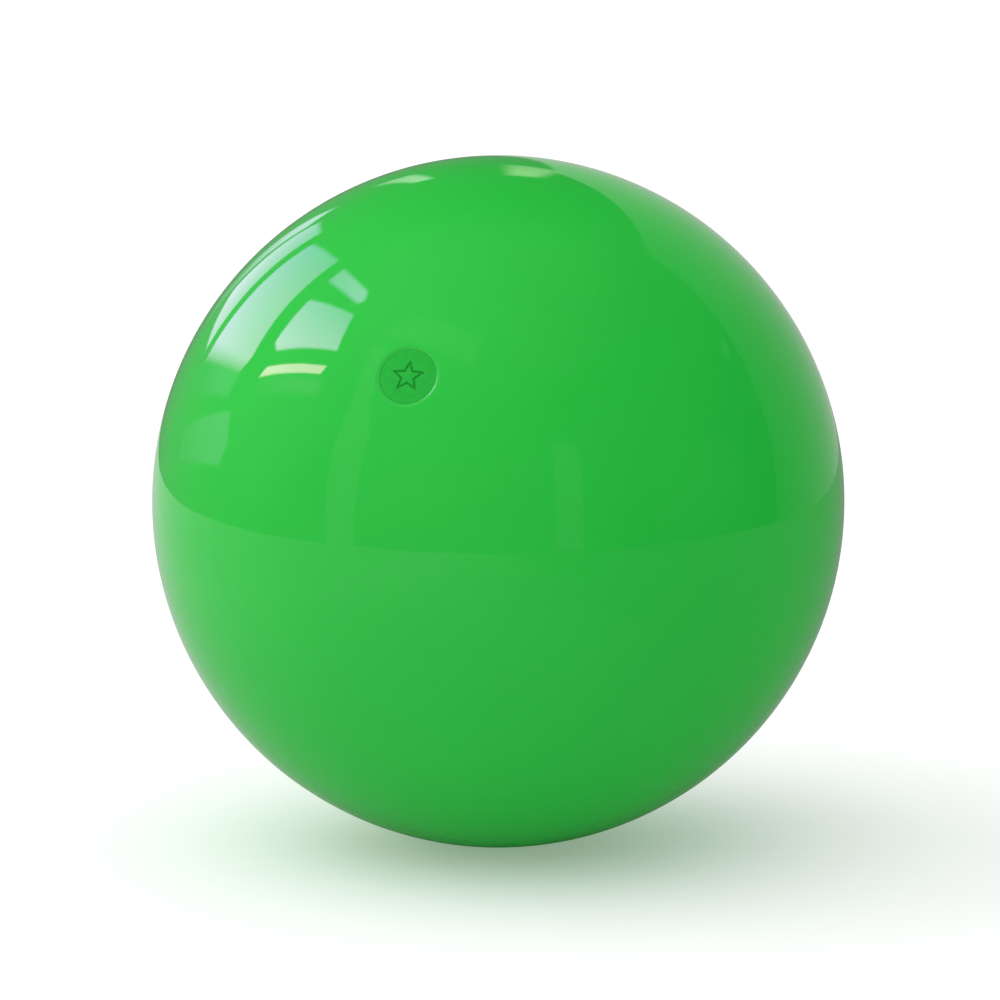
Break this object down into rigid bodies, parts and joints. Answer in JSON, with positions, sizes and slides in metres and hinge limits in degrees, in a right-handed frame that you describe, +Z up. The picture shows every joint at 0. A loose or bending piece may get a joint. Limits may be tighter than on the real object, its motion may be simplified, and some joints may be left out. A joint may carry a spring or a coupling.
{
  "type": "playground rubber ball",
  "caption": "Smooth glossy inflatable rubber playground ball with a wound core and a push-in plug that seats flush over its needle valve.",
  "frame": {"origin": "centre of the ball", "axes": "+Z up; the inflation port's axis lies in the YZ plane, faces -Y and rises 30 degrees above the horizon; +X to the right seen from the port's side"},
  "size_m": [0.18, 0.18, 0.18],
  "materials": {
    "cover_rubber": "gloss",
    "plug_rubber": "matte",
    "middle_ply_rubber": "matte",
    "nylon_thread": "satin",
    "butyl_rubber": "satin",
    "housing_rubber": "matte",
    "core_rubber": "satin",
    "patch_cloth": "matte",
    "balance_rubber": "matte"
  },
  "bodies": {
    "ball": {"cover": "cover_rubber", "middle_ply": "middle_ply_rubber", "winding": "nylon_thread", "bladder": "butyl_rubber", "valve_housing": "housing_rubber", "valve_core": "core_rubber", "valve_patch": "patch_cloth", "balance_patch": "balance_rubber"},
    "plug": {"valve_plug": "plug_rubber"}
  },
  "joints": [
    {"name": "plug_pull", "type": "slide", "parent": "ball", "child": "plug", "axis": [0, -0.866, 0.5], "range_m": [0, 0.04]}
  ]
}
